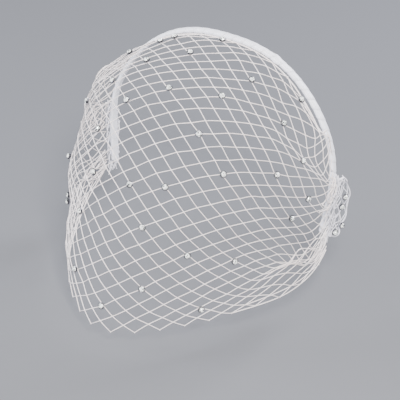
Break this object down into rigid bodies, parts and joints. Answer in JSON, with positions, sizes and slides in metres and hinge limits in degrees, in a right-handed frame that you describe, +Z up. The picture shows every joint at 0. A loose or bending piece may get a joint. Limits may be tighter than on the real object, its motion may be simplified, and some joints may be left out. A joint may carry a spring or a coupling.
{
  "type": "mesh headband",
  "caption": "Ribbon-wound headband with a wide-mesh net face veil, gathered at both ears and scattered with small crystals.",
  "frame": {"origin": "under the crown of the band, in the middle, where the band's inner face sits on the top of the head", "axes": "+Z up; the face looks along -Y, so the veil hangs on the -Y side; +X towards the wearer's left ear"},
  "size_m": [0.1841, 0.1561, 0.1621],
  "materials": {
    "satin_ribbon": "white satin ribbon with a soft sheen",
    "net_thread": "white twisted thread with small knots",
    "crystal": "clear cut crystal in a polished silver cup"
  },
  "bodies": {
    "root": {"headband": "satin_ribbon", "veil_net": "net_thread", "gather_left": "net_thread", "gather_right": "net_thread", "ruffle_left": "net_thread", "ruffle_right": "net_thread", "stone_01": "crystal", "stone_02": "crystal", "stone_03": "crystal", "stone_04": "crystal", "stone_05": "crystal", "stone_06": "crystal", "stone_07": "crystal", "stone_08": "crystal", "stone_09": "crystal", "stone_10": "crystal", "stone_11": "crystal", "stone_12": "crystal", "stone_13": "crystal", "stone_14": "crystal", "stone_15": "crystal", "stone_16": "crystal", "stone_17": "crystal", "stone_18": "crystal", "stone_19": "crystal", "stone_20": "crystal", "stone_21": "crystal", "stone_22": "crystal", "stone_23": "crystal", "stone_24": "crystal", "stone_25": "crystal", "stone_26": "crystal", "stone_27": "crystal", "stone_28": "crystal", "stone_29": "crystal", "stone_30": "crystal", "stone_31": "crystal", "stone_32": "crystal", "stone_33": "crystal", "stone_34": "crystal", "stone_35": "crystal", "stone_36": "crystal", "stone_37": "crystal", "stone_38": "crystal", "stone_39": "crystal", "stone_40": "crystal"}
  },
  "joints": []
}
